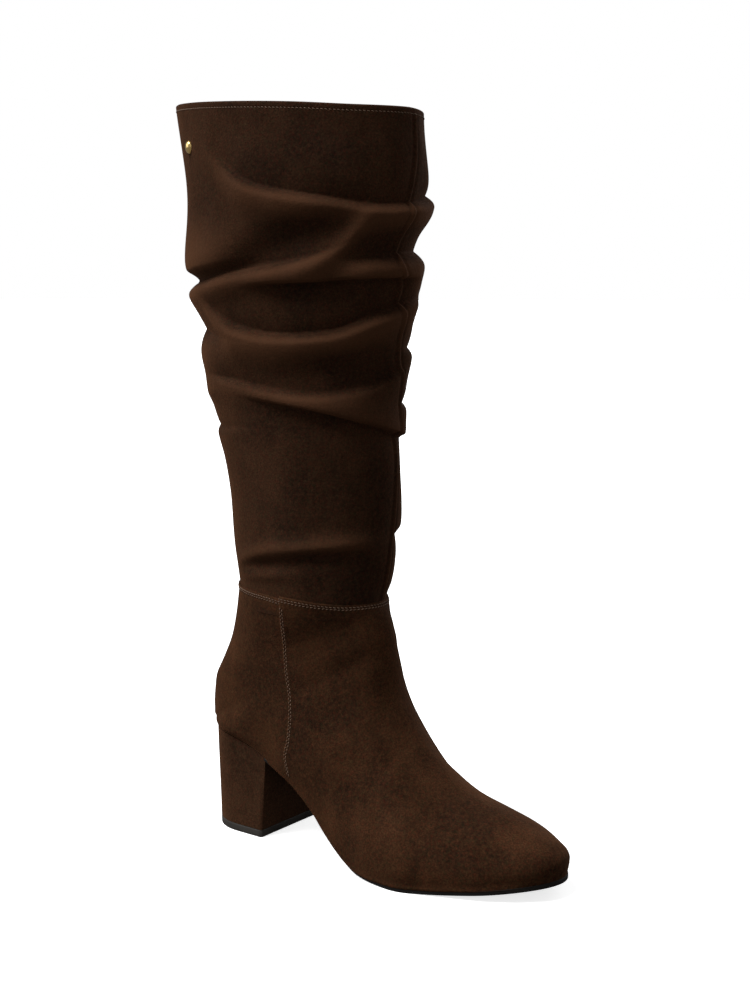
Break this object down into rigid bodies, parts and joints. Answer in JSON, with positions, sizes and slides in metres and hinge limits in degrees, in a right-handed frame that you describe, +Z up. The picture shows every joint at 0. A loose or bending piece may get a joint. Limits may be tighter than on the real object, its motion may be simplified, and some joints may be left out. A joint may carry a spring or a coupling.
{
  "type": "boot",
  "caption": "Right-foot knee-high slouch boot in brown suede, with a rounded toe, a covered block heel, a thin rubber sole and a plain stud near the collar",
  "frame": {"origin": "the middle of the boot's box, on the floor it stands on", "axes": "+X towards the toe, +Y towards the inner side of the right leg, +Z up"},
  "size_m": [0.2768, 0.1164, 0.4539],
  "materials": {
    "brown_suede": "napped suede",
    "black_rubber": "matte",
    "tan_lining": "smooth lining leather",
    "brass": "polished"
  },
  "bodies": {
    "root": {"upper": "brown_suede", "insole": "tan_lining", "outsole": "black_rubber", "heel": "brown_suede", "heel_tip": "black_rubber", "stud": "brass"}
  },
  "joints": []
}
